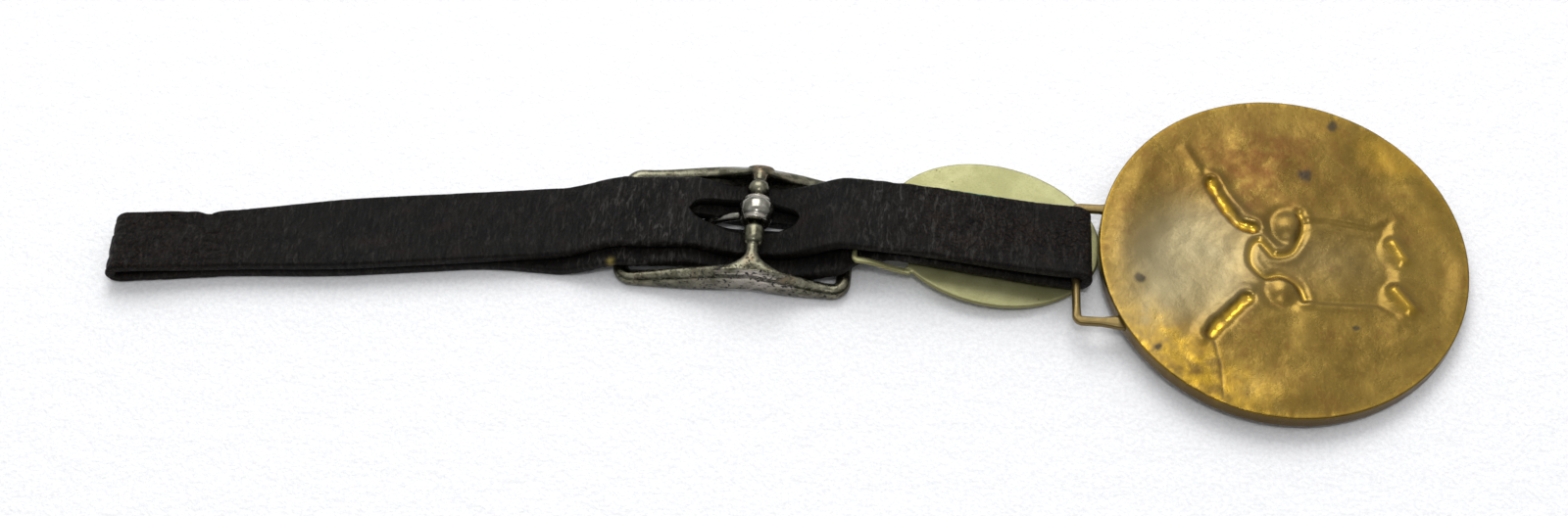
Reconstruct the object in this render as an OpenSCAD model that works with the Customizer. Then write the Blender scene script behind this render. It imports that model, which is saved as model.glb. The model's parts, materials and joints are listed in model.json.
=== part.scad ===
// Strap watch fob, laid out flat with the back of its medallion up.
// A doubled leather strap runs through a centre-bar buckle. Its left fold
// takes a watch's bow, its right fold holds the medallion's loop, and an
// oval charm hangs from the strap's front layer.
// +X runs along the strap to the medallion, +Z is up, away from the front.
// All lengths are in millimetres and all angles in degrees.

/* [Strap] */
// Width of the strap at the buckle
strap_w = 9.5; // [7:0.1:11.4]
// Width of the strap at its watch end
end_w = 7.9; // [6:0.1:9]
// Thickness of one layer of leather
strap_t = 1.45; // [1:0.05:1.8]
// Gap between the strap's two layers
layer_gap = 0.1; // [0.05:0.05:0.3]
// Length from the buckle's left end bar to the watch end
tail_len = 60.8; // [45:0.1:80]
// Length from the buckle's right end bar to the medallion's loop bar
fob_len = 27.2; // [26:0.1:40]
// Sideways turn of the strap left of the buckle
tail_turn = 8.3; // [0:0.1:10]
// Inner radius of the fold at the watch end
fold_r = 0.4; // [0.2:0.05:0.8]

/* [Buckle] */
// Distance from the centre bar to the left end bar
left_arm = 15.6; // [13.5:0.1:19]
// Distance from the centre bar to the right end bar
right_arm = 10.9; // [9.8:0.1:13.5]
// Space between the strap and each rail
rail_gap = 1.45; // [1.3:0.05:3]
// Width of each rail
rail_w = 1.8; // [1.4:0.1:2.2]
// Radius of each end bar
end_bar_r = 0.9; // [0.8:0.05:1.1]
// Radius of the centre bar
bar_r = 1; // [0.8:0.05:1.2]
// Radius of the tongue's collar
collar_r = 2.1; // [1.8:0.05:2.4]
// Length of the tongue's collar
collar_len = 3.3; // [2.6:0.1:4]
// Width of the tongue
tongue_w = 1.1; // [0.9:0.05:1.4]
// Length of the slot in the leather
slot_len = 13.6; // [12:0.1:15]
// Width of the slot in the leather
slot_w = 5.2; // [4.8:0.1:6]

/* [Medallion] */
// Radius of the medallion
medal_r = 22; // [18:0.1:27]
// Thickness of the medallion
medal_t = 2; // [1.6:0.1:2.4]
// Height of the rim round the front, and of the head raised within it
rim_h = 0.45; // [0.2:0.05:0.6]
// Clear length of the strap loop
loop_len = 14.6; // [12:0.1:18]
// Clear width of the loop, from its bar to the disc
loop_gap = 2.25; // [2:0.05:3.2]
// Radius of the loop's bar
loop_bar_r = 0.5; // [0.4:0.05:0.7]
// Width of each loop arm
arm_w = 1; // [0.8:0.05:1.4]
// Distance of the loop's middle from the medallion's axis
loop_offset = -2.2; // [-3:0.1:2]
// Sideways turn of the medallion
medal_turn = 3; // [0:0.1:5]
// Depth of the head pressed into the back
relief_depth = 0.5; // [0.2:0.05:0.7]

/* [Charm] */
// Length of the oval charm
charm_l = 26.2; // [22:0.1:31]
// Width of the oval charm
charm_w = 19.6; // [16:0.1:24]
// Thickness of the charm
charm_t = 0.7; // [0.5:0.05:0.9]
// Width of the tab's side strips
tab_w = 0.8; // [0.6:0.05:1.2]
// Radius of the tab's hanging bar
tab_bar_r = 0.3; // [0.25:0.05:0.4]
// Slope of the charm up to its tab
charm_tilt = 4.4; // [3:0.1:5]
// Sideways turn of the charm
charm_turn = -7; // [-9:0.1:0]

/* [Fits] */
// Radial clearance of a running fit
run_gap = 0.08; // [0.02:0.01:0.1]
// Free space between a strap and what it passes
side_gap = 0.35; // [0.2:0.05:0.6]
// Space round each end bar for the leather that bends over it
bend_gap = 0.25; // [0.2:0.05:0.4]
// Wedge left open where the leather bends back
bend_open = 12; // [8:0.5:16]
// Space between the charm and the leather over it
charm_gap = 0.3; // [0.2:0.05:0.5]

/* [Hidden] */
$fn = 48;
TINY = 0.01;
REACH = 60;           // half of any long cutting block
STEPS = 12;           // straight steps in each eased stretch of leather

stack = strap_t + layer_gap;          // from one layer to the next
frame_w = strap_w + 2 * rail_gap + 2 * rail_w;
bend_r = end_bar_r + bend_gap;        // leather's inner radius at an end bar
over_end = end_bar_r + bend_r;        // underside of leather over an end bar
floor_gap = 0.1;                      // leather under the centre bar clears the floor
bead_h = 0.3;                         // beads of the centre bar stand out by this
bar_z = floor_gap + 2 * strap_t + layer_gap + 0.1 + bead_h + bar_r;
rail_arch = 0.9;                      // height of the arch under each rail
tip_t = 0.65;                         // thickness of the tongue's prong
tip_z = 0.05;                         // the prong's tip clears the floor
wrap_in = loop_bar_r + run_gap;       // leather's inner radius at the loop bar
wrap_out = wrap_in + strap_t;
fold_out = fold_r + strap_t;

// places measured from the centre bar, before the whole is centred
loop_x = right_arm + fob_len;
tab_x = right_arm + bend_r;           // the tab's hanging bar
tab_z = over_end + strap_t + charm_gap + tab_bar_r;
back_lift = 2 * tab_bar_r + 2 * charm_gap - layer_gap;  // back layer clears the tab
tab_len = 6.2;                        // from the hanging bar to the oval's edge
oval_x = tab_x + tab_len - 1;         // where the oval meets its tab
charm_rise = charm_l * sin(charm_tilt);

// Height of the charm's upper face at x
function charm_top(x) = charm_t + charm_rise - (x - oval_x) * tan(charm_tilt);

loop_z = charm_top(loop_x) + charm_gap + wrap_out;  // the fold clears the charm
collar_y = 0.2;
strap_y = 0.1;                        // the strap's middle in the slot
tail_y = -0.8;                        // its middle at the left end bar
fob_y0 = 0.4;                         // its middle at the right end bar
fob_y1 = -0.9;                        // its middle at the loop
frame_y = -0.8;
head_y = -0.9;                        // the head sits a little off the medallion's axis
loop_y = fob_y1 + strap_w / 2 + side_gap - loop_len / 2;
loop_reach = medal_r + loop_gap + loop_bar_r;
medal_lift = asin((loop_z - medal_t / 2) / (loop_reach + medal_r));
medal_x = loop_x + loop_reach * cos(medal_lift) * cos(medal_turn)
  + loop_offset * sin(medal_turn);
medal_y = loop_y + loop_reach * cos(medal_lift) * sin(medal_turn)
  - loop_offset * cos(medal_turn);

x_right = medal_x + medal_r * cos(medal_lift);
x_left = -left_arm - tail_len;
bar_x = -(x_left + x_right) / 2;
bar_y = -medal_y;

// Smooth step from 0 to 1
function ease(t) = t * t * (3 - 2 * t);

// Height of a path of [x, z] stations at x, eased between them
// or straight where the station has a third value
function height(path, x, i = 0) =
  i >= len(path) - 2 || x <= path[i + 1][0]
    ? let (
        s = min(1, max(0, (x - path[i][0]) / (path[i + 1][0] - path[i][0]))),
        rise = path[i + 1][1] - path[i][1]
      )
      path[i][1] + rise * (len(path[i + 1]) > 2 ? s : ease(s))
    : height(path, x, i + 1);

// The x values at which a path is drawn
function walk(path) = [
  for (i = [0 : len(path) - 2])
    for (k = [0 : STEPS - 1])
      path[i][0] + (path[i + 1][0] - path[i][0]) * k / STEPS,
  path[len(path) - 1][0]
];

// Outline of a layer whose underside follows a path
function layer_outline(path, t) =
  let (xs = walk(path), n = len(xs)) concat(
    [for (x = xs) [x, height(path, x)]],
    [for (i = [n - 1 : -1 : 0]) [xs[i], height(path, xs[i]) + t]]
  );

slot_rise = 1.5;                      // the prong passes under the slot's left tip

// Undersides of the leather; the mid stretch lies between the two end bars
front_mid = [
  [-left_arm, over_end], [-slot_len * 0.6, slot_rise], [-2.5, floor_gap],
  [2.5, floor_gap], [right_arm, over_end]
];
back_mid = [
  [-left_arm, over_end + stack], [-slot_len * 0.6, slot_rise + stack],
  [-2.5, floor_gap + stack], [2.5, floor_gap + stack],
  [right_arm, over_end + stack + back_lift]
];
front_tail = [
  [-left_arm - tail_len + fold_out, 0], [-left_arm - 8, 0], [-left_arm, over_end]
];
back_tail = [
  [-left_arm - tail_len + fold_out, 2 * fold_r + strap_t],
  [-left_arm - tail_len * 0.78, stack], [-left_arm - 8, stack],
  [-left_arm, over_end + stack]
];
front_fob = [
  [right_arm, over_end], [tab_x + 1, over_end],
  [oval_x + 0.6, charm_top(oval_x + 0.6) + charm_gap],
  [loop_x, loop_z - wrap_out, 1]
];
back_fob = [
  [right_arm, over_end + stack + back_lift], [tab_x + 6, over_end + stack + back_lift],
  [loop_x, loop_z + wrap_in]
];

// Middle of the strap in plan, and half its width
function plan_y(x) =
  x < -left_arm ? tail_y + (x + left_arm) * tan(tail_turn)
  : x < -slot_len / 2 ? strap_y + (tail_y - strap_y)
      * ease((-slot_len / 2 - x) / (left_arm - slot_len / 2))
  : x < slot_len / 2 ? strap_y
  : x < right_arm ? strap_y + (fob_y0 - strap_y)
      * ease((x - slot_len / 2) / (right_arm - slot_len / 2))
  : fob_y0 + (fob_y1 - fob_y0) * ease(min(1, (x - right_arm) / fob_len));
function half_w(x) =
  let (far = -left_arm - tail_len)
  (end_w + (strap_w - end_w) * ease(min(1, max(0, (x - far - 12) / 18)))) / 2;

// Puts a part in place, measured from the centre bar
module at_bar() {
  translate([bar_x, bar_y, 0]) children();
}

// Extrudes an outline of [x, z] points sideways
module sideways(width, y = 0) {
  translate([0, y + width / 2, 0]) rotate([90, 0, 0]) linear_extrude(width) children();
}

// The strap seen from above
module strap_plan(x0, x1) {
  n = 28;
  xs = [for (i = [0 : n]) x0 + (x1 - x0) * i / n];
  linear_extrude(30, center = true) polygon(concat(
    [for (x = xs) [x, plan_y(x) - half_w(x)]],
    [for (i = [n : -1 : 0]) [xs[i], plan_y(xs[i]) + half_w(xs[i])]]
  ));
}

// Oblong slot, blunt on the left and pointed on the right
module slot_cut() {
  mid = slot_len * 0.58;
  linear_extrude(30, center = true) translate([mid * 0.02 - 0.3, strap_y])
    polygon([for (a = [0 : 10 : 350]) [
      (cos(a) < 0 ? mid : slot_len - mid) * cos(a),
      slot_w / 2 * sin(a) * (cos(a) > 0 ? 1 - 0.25 * cos(a) : 1)
    ]]);
}

// One layer of leather between the end bars
module mid_layer(path) {
  difference() {
    intersection() {
      sideways(40) polygon(layer_outline(path, strap_t));
      strap_plan(-left_arm, right_arm);
    }
    slot_cut();
  }
}

// The layer that passes under the centre bar first
module strap_front_mid() {
  color("#2b2522") at_bar() mid_layer(front_mid);
}

// The layer above it
module strap_back_mid() {
  color("#332b27") at_bar() mid_layer(back_mid);
}

// Wedge that lets the leather bend at an end bar
module bend_wedge(x, side) {
  translate([x, 0, end_bar_r]) sideways(40) polygon([
    [0, -REACH], [side * TINY, 0], [side * REACH * tan(bend_open), REACH],
    [-side * REACH, REACH], [-side * REACH, -REACH]
  ]);
}

// Bore that keeps the leather off an end bar as it bends
module bend_bore(x) {
  translate([x, 0, end_bar_r]) rotate([90, 0, 0])
    cylinder(r = bend_r, h = 40, center = true);
}

// Both layers left of the buckle, joined by the watch-end fold
module strap_watch_end() {
  fold_x = -left_arm - tail_len + fold_out;
  color("#2e2724") at_bar() difference() {
    intersection() {
      sideways(60) difference() {
        union() {
          polygon(layer_outline(front_tail, strap_t));
          polygon(layer_outline(back_tail, strap_t));
          translate([fold_x, fold_out]) circle(r = fold_out);
        }
        translate([fold_x, fold_out]) circle(r = fold_r);
        polygon(concat(
          [[fold_x, fold_out - fold_r / 2]],
          [for (x = walk(front_tail)) if (x > fold_x + 1) [x, height(front_tail, x) + strap_t]],
          [for (x = walk([[-left_arm, 0], [fold_x, 0]])) if (x > fold_x + 1) [x, height(back_tail, x)]],
          [[fold_x, fold_out + fold_r / 2]]
        ));
      }
      strap_plan(-left_arm - tail_len - 1, -left_arm);
    }
    bend_wedge(-left_arm, -1);
    bend_bore(-left_arm);
  }
}

// Both layers right of the buckle, wrapped round the loop's bar
module strap_fob_end() {
  color("#3a2f28") at_bar() difference() {
    intersection() {
      translate([loop_x, loop_y, 0]) rotate([0, 0, medal_turn]) translate([-loop_x, 0, 0])
        sideways(40) difference() {
          union() {
            polygon(layer_outline(front_fob, strap_t));
            polygon(layer_outline(back_fob, strap_t));
            translate([loop_x, loop_z]) circle(r = wrap_out);
          }
          translate([loop_x, loop_z]) circle(r = wrap_in);
          polygon(concat(
            [for (x = walk(front_fob)) [x, height(front_fob, x) + strap_t]],
            [for (x = walk([[loop_x, 0], [right_arm, 0]])) [x, height(back_fob, x)]]
          ));
        }
      strap_plan(right_arm, loop_x + wrap_out + 1);
    }
    bend_wedge(right_arm, 1);
    bend_bore(right_arm);
  }
}

// Side view of a rail: its top peaks at the centre bar over a low arch
module rail_side() {
  thick = 2 * end_bar_r;
  x0 = -left_arm - end_bar_r;
  x1 = right_arm + end_bar_r;
  under = [[x0, 0], [-left_arm + 4, 0], [0, rail_arch], [right_arm - 3, 0], [x1, 0]];
  over = [
    [x0, thick], [-left_arm + 1.5, thick], [-left_arm * 0.55, thick + 0.9],
    [0, bar_z + bar_r], [right_arm * 0.62, thick + 0.3], [right_arm - 1, thick], [x1, thick]
  ];
  polygon(concat(
    [for (x = walk(under)) [x, height(under, x)]],
    [for (x = walk([for (i = [len(over) - 1 : -1 : 0]) over[i]])) [x, height(over, x)]]
  ));
}

// Rounded rectangle in plan, round at its four corners
module rail_plan() {
  corner = 2.4;
  x0 = -left_arm - end_bar_r + corner;
  x1 = right_arm + end_bar_r - corner;
  y1 = frame_w / 2 - corner;
  for (x = [x0, x1], y = [-y1, y1]) translate([x, y]) circle(r = corner);
  translate([x0, -frame_w / 2]) square([x1 - x0, frame_w]);
  translate([x0 - corner, -y1]) square([x1 - x0 + 2 * corner, 2 * y1]);
}

// Centre bar with a bead each side of the collar and a flare at each rail
module centre_bar() {
  half = frame_w / 2 - rail_w / 2;
  far = collar_y - frame_y - half;
  near = collar_y - frame_y + half;
  seat = collar_len / 2 + 0.15;
  bead_len = 1.6;
  flare = 0.7;
  flare_len = 2;
  ys = [for (k = [0 : 10]) k / 10];
  rotate([90, 0, 0]) rotate_extrude() polygon(concat(
    [[0, far], [bar_r + flare, far], [bar_r, far + flare_len]],
    [for (k = ys) [bar_r + bead_h * sin(180 * k), -seat - bead_len + bead_len * k]],
    [for (k = ys) [bar_r + bead_h * sin(180 * k), seat + bead_len * k]],
    [[bar_r, near - flare_len], [bar_r + flare, near], [0, near]]
  ));
}

// Two rails, two round end bars and the centre bar, all one casting
module buckle_frame() {
  color("#8f8f86") at_bar() difference() {
    union() {
      intersection() {
        sideways(frame_w + 2, frame_y) rail_side();
        translate([0, frame_y, -1]) linear_extrude(20) difference() {
          rail_plan();
          square([REACH * 2, frame_w - 2 * rail_w], center = true);
        }
      }
      for (x = [-left_arm, right_arm])
        translate([x, frame_y, end_bar_r]) rotate([90, 0, 0])
          cylinder(r = end_bar_r, h = frame_w - rail_w, center = true);
      translate([0, collar_y, bar_z]) centre_bar();
    }
    // seat for the tongue's tip, in the front of the left end bar
    translate([-left_arm - 2, collar_y - tongue_w / 2 - 0.2, -1])
      cube([4, tongue_w + 0.4, 1 + tip_z + tip_t + 0.2]);
  }
}

// Prong and the collar it turns on
module buckle_tongue() {
  prong = [
    [-left_arm - 0.55, tip_z], [-slot_len * 0.6 - 2, 0.15],
    [-slot_len * 0.6, 0.35], [-0.6, bar_z - 1.5]
  ];
  color("#a3a39b") at_bar() difference() {
    union() {
      sideways(tongue_w, collar_y) polygon(layer_outline(prong, tip_t));
      translate([0, collar_y, bar_z]) rotate([90, 0, 0]) rotate_extrude() polygon([
        [0, -collar_len / 2], [collar_r - 0.5, -collar_len / 2],
        [collar_r, -collar_len / 4], [collar_r, collar_len / 4],
        [collar_r - 0.5, collar_len / 2], [0, collar_len / 2]
      ]);
    }
    translate([0, collar_y, bar_z]) rotate([90, 0, 0])
      cylinder(r = bar_r + run_gap, h = collar_len + 2, center = true);
  }
}

// Plain steer's head in plan, its muzzle toward +X
module head_plan() {
  half = 5.3;
  polygon([
    [-4.7, 1.6], [-4.7, -1.6], [-0.5, -4.2], [1.5, -half], [10, -half], [12.5, -5.8],
    [14.2, -3], [13.2, 0], [14.2, 3], [12.5, 5.8], [10, half], [1.5, half], [-0.5, 4.2]
  ]);
  for (s = [-1, 1]) {
    translate([-0.4, 4.6 * s]) circle(r = 1.8);
    translate([-6.6, 7.5 * s]) rotate([0, 0, -52 * s]) square([8.4, 1.9], center = true);
  }
}

// Disc with a wire-thin loop, a rimmed front and a head pressed into its back
module medallion() {
  loop_half = loop_len / 2;
  arm_t = 1.7 * loop_bar_r;
  rim_w = 1;
  color("#a48a4c") at_bar() translate([loop_x, loop_y, loop_z])
    rotate([0, 0, medal_turn]) rotate([0, medal_lift, 0]) {
      difference() {
        union() {
          translate([loop_reach, -loop_offset, 0])
            cylinder(r = medal_r, h = medal_t, center = true);
          for (s = [-1, 1])
            translate([0, s * (loop_half + arm_w / 2) - arm_w / 2, -arm_t / 2])
              cube([loop_gap + 5, arm_w, arm_t]);
          rotate([90, 0, 0])
            cylinder(r = loop_bar_r, h = loop_len + arm_w, center = true);
        }
        translate([loop_reach, -loop_offset, 0]) {
          // the front's field, round the raised head
          translate([0, 0, -medal_t / 2 - 1]) linear_extrude(1 + rim_h) difference() {
            circle(r = medal_r - rim_w);
            rotate([0, 0, -medal_turn]) translate([0, head_y]) head_plan();
          }
          // the same head, pressed into the back
          translate([0, 0, medal_t / 2 - relief_depth]) linear_extrude(medal_t)
            rotate([0, 0, -medal_turn]) translate([0, head_y]) head_plan();
        }
      }
    }
}

// Oval plate and its bent tab, slotted for the strap's front layer
module oval_charm() {
  slot_half = strap_w / 2 + side_gap;
  strip_t = 2.15 * tab_bar_r;         // the strips close over the bar's ends
  inset = 1.5;                        // the strips run this far into the plate
  tab_mid = plan_y(tab_x + 3);
  strip = [
    [tab_x - strip_t / 2 - 0.03, tab_z - strip_t / 2], [tab_x + 0.5, tab_z - strip_t / 2],
    [oval_x + inset, charm_top(oval_x + inset) - (charm_t + strip_t) / 2]
  ];
  color("#b9b68f") at_bar() union() {
    // the oval, which touches the floor at its far end
    translate([oval_x, tab_mid, charm_t / 2 + charm_rise])
      rotate([0, charm_tilt, 0]) difference() {
        translate([charm_l / 2 - 2.2, 0.9, 0]) rotate([0, 0, charm_turn])
          linear_extrude(charm_t, center = true)
            polygon([for (a = [0 : 6 : 354]) [charm_l / 2 * cos(a), charm_w / 2 * sin(a)]]);
        translate([-10, -slot_half - tab_w / 4, -5]) cube([11.2, 2 * slot_half + tab_w / 2, 10]);
      }
    for (s = [-1, 1])
      sideways(tab_w, tab_mid + s * (slot_half + tab_w / 2)) polygon(layer_outline(strip, strip_t));
    translate([tab_x, tab_mid, tab_z]) rotate([90, 0, 0])
      cylinder(r = tab_bar_r, h = 2 * slot_half + tab_w, center = true);
  }
}

buckle_frame();
buckle_tongue();
strap_front_mid();
strap_back_mid();
strap_watch_end();
strap_fob_end();
medallion();
oval_charm();
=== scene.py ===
"""A leather strap watch fob, lying on its front: strap, buckle, medallion, charm.

Shapes are worked out in millimetres. Most are measured from the point on the
floor under the buckle's centre bar, with the strap along X and Z up; the
medallion is measured from its own middle. make_object turns them into metres.
"""
import json
import math

import bmesh
import bpy
import mathutils
import numpy as np
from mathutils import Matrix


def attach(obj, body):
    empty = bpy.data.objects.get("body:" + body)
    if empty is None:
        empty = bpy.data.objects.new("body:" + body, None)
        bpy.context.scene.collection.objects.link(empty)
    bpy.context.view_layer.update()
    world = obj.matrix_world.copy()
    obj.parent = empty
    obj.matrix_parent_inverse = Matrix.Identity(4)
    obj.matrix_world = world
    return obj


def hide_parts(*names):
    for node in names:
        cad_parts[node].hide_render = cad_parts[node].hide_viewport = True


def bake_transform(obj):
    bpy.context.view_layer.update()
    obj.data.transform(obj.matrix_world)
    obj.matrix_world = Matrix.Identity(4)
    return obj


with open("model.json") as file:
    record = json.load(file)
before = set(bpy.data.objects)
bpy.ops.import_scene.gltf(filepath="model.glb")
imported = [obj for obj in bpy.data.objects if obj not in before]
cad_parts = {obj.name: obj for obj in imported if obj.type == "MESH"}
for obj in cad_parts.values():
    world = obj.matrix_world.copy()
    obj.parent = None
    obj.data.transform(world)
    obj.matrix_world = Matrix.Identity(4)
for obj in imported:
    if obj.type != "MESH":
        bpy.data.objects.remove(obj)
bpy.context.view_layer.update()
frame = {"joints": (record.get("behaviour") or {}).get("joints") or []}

MM = 0.001
SCENE = bpy.context.scene
JOINTS = {joint["name"]: joint for joint in frame["joints"]}


def pivot(name):
    """A joint's place in millimetres."""
    return np.array(JOINTS[name]["pos_m"]) / MM


# Places, in millimetres from the point on the floor under the centre bar
COLLAR_Y = 0.2
BAR_Z = pivot("tongue_pivot")[2]
ORIGIN = pivot("tongue_pivot") - (0, COLLAR_Y, BAR_Z)
LEFT_END = pivot("watch_end_flex") - ORIGIN
RIGHT_END = pivot("fob_end_flex") - ORIGIN
TAB = pivot("charm_swing") - ORIGIN
LOOP = pivot("medallion_swing") - ORIGIN


# ------------------------------------------------------------------ maths

def ease(t):
    t = np.clip(t, 0, 1)
    return t * t * (3 - 2 * t)


def step(x, start, end):
    """0 before start, 1 after end, smooth between them."""
    return ease((x - start) / (end - start))


def bump(x, centre, width):
    """1 at the centre, falling smoothly to 0."""
    return np.exp(-(((x - centre) / width) ** 2))


def along(stations, x):
    """Height at x on a path of (x, height) stations, eased between them."""
    xs, zs = np.array(stations, float).T
    i = np.clip(np.searchsorted(xs, x) - 1, 0, len(xs) - 2)
    return zs[i] + (zs[i + 1] - zs[i]) * ease((x - xs[i]) / (xs[i + 1] - xs[i]))


def hashed(ix, iy, seed):
    n = ix.astype(np.int64) * 374761393 + iy.astype(np.int64) * 668265263 + seed * 974634777
    n &= 0xFFFFFFFF
    n = ((n ^ (n >> 13)) * 1274126177) & 0xFFFFFFFF
    return ((n ^ (n >> 16)) & 0xFFFF) / 32767.5 - 1


def noise(x, y, seed=0):
    """Smooth value noise from -1 to 1, with cells one unit wide."""
    x, y = np.broadcast_arrays(np.asarray(x, float), np.asarray(y, float))
    ix, iy = np.floor(x), np.floor(y)
    u, v = ease(x - ix), ease(y - iy)
    near = hashed(ix, iy, seed) * (1 - u) + hashed(ix + 1, iy, seed) * u
    far = hashed(ix, iy + 1, seed) * (1 - u) + hashed(ix + 1, iy + 1, seed) * u
    return near * (1 - v) + far * v


def clouds(x, y, seed=0, octaves=4):
    """Noise on several scales, each half as wide and half as strong as the last."""
    total, weight = 0, 0
    for k in range(octaves):
        total = total + noise(x * 2 ** k, y * 2 ** k, seed + k) / 2 ** k
        weight += 1 / 2 ** k
    return total / weight


def line_distance(x, y, points):
    """Distance from each (x, y) to a line, how far along it is, and on which side."""
    best = np.full(np.shape(x), 1e9)
    place = np.zeros(np.shape(x))
    side = np.ones(np.shape(x))
    for i, ((ax, ay), (bx, by)) in enumerate(zip(points[:-1], points[1:])):
        dx, dy = bx - ax, by - ay
        t = np.clip(((x - ax) * dx + (y - ay) * dy) / (dx * dx + dy * dy), 0, 1)
        d = np.hypot(x - ax - t * dx, y - ay - t * dy)
        nearer = d < best
        place = np.where(nearer, (i + t) / (len(points) - 1), place)
        side = np.where(nearer, np.sign(dx * (y - ay) - dy * (x - ax)), side)
        best = np.minimum(best, d)
    return best, place, side


def smooth_line(points, steps=6):
    """A smooth line through given points."""
    p = np.array([points[0]] + list(points) + [points[-1]], float)
    out = []
    for a, b, c, d in zip(p[:-3], p[1:-2], p[2:-1], p[3:]):
        for t in np.arange(steps) / steps:
            out.append(0.5 * (2 * b + (c - a) * t + (2 * a - 5 * b + 4 * c - d) * t ** 2
                              + (3 * b - a - 3 * c + d) * t ** 3))
    return np.array(out + [p[-1]])


# ------------------------------------------------------------------ meshes

def make_object(name, points, faces, values=None, merge=0.0, sharp=180.0):
    """A mesh from points in millimetres, with its faces all turned outward."""
    mesh = bpy.data.meshes.new(name)
    mesh.from_pydata(((np.asarray(points) + ORIGIN) * MM).tolist(), [], faces)
    for key, column in (values or {}).items():
        mesh.attributes.new(key, "FLOAT", "POINT").data.foreach_set(
            "value", np.asarray(column, np.float32))
    made = bpy.data.objects.new(name, mesh)
    SCENE.collection.objects.link(made)
    work = bmesh.new()
    work.from_mesh(mesh)
    if merge:
        bmesh.ops.remove_doubles(work, verts=work.verts, dist=merge * MM)
    bmesh.ops.recalc_face_normals(work, faces=work.faces)
    work.to_mesh(mesh)
    work.free()
    mesh.shade_smooth()
    if sharp < 180:
        mesh.set_sharp_from_angle(angle=math.radians(sharp))
    return made


def points_of(obj):
    """An object's points in millimetres."""
    co = np.empty(len(obj.data.vertices) * 3)
    obj.data.vertices.foreach_get("co", co)
    return co.reshape(-1, 3) / MM - ORIGIN


def move_points(obj, points):
    obj.data.vertices.foreach_set("co", ((points + ORIGIN) * MM).ravel())
    obj.data.update()


def normals_of(obj):
    out = np.empty(len(obj.data.vertices) * 3)
    obj.data.vertices.foreach_get("normal", out)
    return out.reshape(-1, 3)


def add_values(obj, **columns):
    for key, column in columns.items():
        obj.data.attributes.new(key, "FLOAT", "POINT").data.foreach_set(
            "value", np.asarray(column, np.float32))


def tube(rings, closed=False):
    """Points and faces of a tube through rings of equally many points."""
    count, size = len(rings), len(rings[0])
    faces = []
    for i in range(count if closed else count - 1):
        j = (i + 1) % count
        for k in range(size):
            n = (k + 1) % size
            faces.append((i * size + k, i * size + n, j * size + n, j * size + k))
    if not closed:
        faces.append(tuple(range(size - 1, -1, -1)))
        faces.append(tuple((count - 1) * size + k for k in range(size)))
    return np.concatenate(rings), faces


def ring(half_w, half_h, power=2.0, count=32):
    """(across, up) points, from an ellipse at power 2 to a box at high powers."""
    a = (np.arange(count) + 0.5) * 2 * math.pi / count
    c, s = np.cos(a), np.sin(a)
    r = (np.abs(c) ** power + np.abs(s) ** power) ** (-1 / power)
    return np.stack([half_w * r * c, half_h * r * s], -1)


def sweep(path, sections):
    """Rings of (across, up) sections set square to a level path."""
    path = np.asarray(path, float)
    heading = np.gradient(path, axis=0)
    heading[:, 2] = 0
    heading /= np.linalg.norm(heading, axis=1)[:, None]
    rings = []
    for p, h, section in zip(path, heading, sections):
        across = np.array([h[1], -h[0], 0])
        rings.append(p + section[:, :1] * across + section[:, 1:] * np.array([0, 0, 1]))
    return rings


def apply_modifier(obj, kind, **settings):
    modifier = obj.modifiers.new(kind.lower(), kind)
    for key, value in settings.items():
        setattr(modifier, key, value)
    with bpy.context.temp_override(object=obj, active_object=obj, selected_objects=[obj]):
        bpy.ops.object.modifier_apply(modifier=modifier.name)


def cast_together(name, parts, voxel, rounds):
    """Melts overlapping solids into one skin and softens the corners between them."""
    points, faces, start = [], [], 0
    for p, f in parts:
        points.append(p)
        faces += [tuple(i + start for i in face) for face in f]
        start += len(p)
    made = make_object(name, np.concatenate(points), faces)
    apply_modifier(made, "REMESH", mode="VOXEL", voxel_size=voxel * MM, use_smooth_shade=True)
    apply_modifier(made, "SMOOTH", factor=0.5, iterations=rounds)
    return made


# --------------------------------------------------------------- materials

def screen(r, g, b):
    """A colour given as it looks on a screen, from 0 to 255."""
    linear = [
        v / 255 / 12.92 if v <= 10 else ((v / 255 + 0.055) / 1.055) ** 2.4 for v in (r, g, b)
    ]
    return (*linear, 1.0)


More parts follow.
